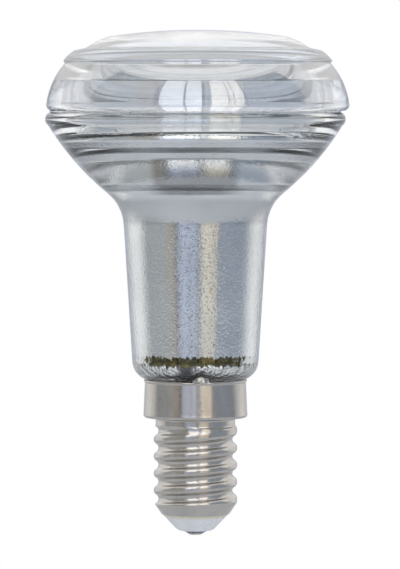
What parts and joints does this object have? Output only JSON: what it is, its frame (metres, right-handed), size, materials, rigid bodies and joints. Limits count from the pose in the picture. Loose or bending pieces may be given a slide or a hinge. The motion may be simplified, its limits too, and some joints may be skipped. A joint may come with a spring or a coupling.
{
  "type": "reflector bulb",
  "caption": "Reflector bulb: silvered glass bowl and neck on a small screw cap, with a clear domed lens on the rim and light-emitting diodes in the throat.",
  "frame": {"origin": "centre of the contact's flat tip, on the cap's axis", "axes": "+Z along the lamp's axis from the tip towards the lens; the solder blob on the collar's rim faces -Y; +X to the right as seen from there"},
  "size_m": [0.0503, 0.0502, 0.0836],
  "materials": {
    "lens_clear": "clear moulded acrylic, polished",
    "clear_glue": "clear cured silicone",
    "silvered_glass": "pressed glass, silvered inside up to a clear rim",
    "bare_aluminium": "drawn aluminium, plain",
    "grey_pad": "soft filled silicone",
    "white_board": "white solder mask",
    "led_package": "moulded package with a yellow window",
    "white_plastic": "plain moulded plastic",
    "green_board": "green solder mask",
    "black_can": "shrunk plastic jacket",
    "ferrite": "matt dark ferrite",
    "copper_wire": "enamelled copper wire, close wound",
    "black_resin": "moulded resin",
    "resistor_coat": "matt lacquer",
    "tinned_wire": "tinned wire",
    "cement": "hard pale basing cement",
    "solder": "dull solder",
    "nickel_plate": "brass sheet, satin nickel plated",
    "insulator_glass": "cast white insulating glass",
    "contact_brass": "bright brass"
  },
  "bodies": {
    "root": {"front_lens": "lens_clear", "lens_seal": "clear_glue", "glass_reflector": "silvered_glass", "heat_spreader": "bare_aluminium", "thermal_pad": "grey_pad", "led_board": "white_board", "led_1": "led_package", "led_2": "led_package", "led_3": "led_package", "led_4": "led_package", "led_5": "led_package", "led_6": "led_package", "driver_sleeve": "white_plastic", "driver_board": "green_board", "smoothing_capacitor": "black_can", "output_capacitor": "black_can", "choke_core": "ferrite", "choke_winding": "copper_wire", "bridge_rectifier": "black_resin", "driver_chip": "black_resin", "fusible_resistor": "resistor_coat", "side_lead": "tinned_wire", "basing_cement": "cement", "rim_solder": "solder", "screw_cap": "nickel_plate", "cap_insulator": "insulator_glass", "centre_contact": "contact_brass", "contact_solder": "solder", "board_pin_left": "tinned_wire", "board_pin_right": "tinned_wire", "pin_solder_left": "solder", "pin_solder_right": "solder"}
  },
  "joints": []
}
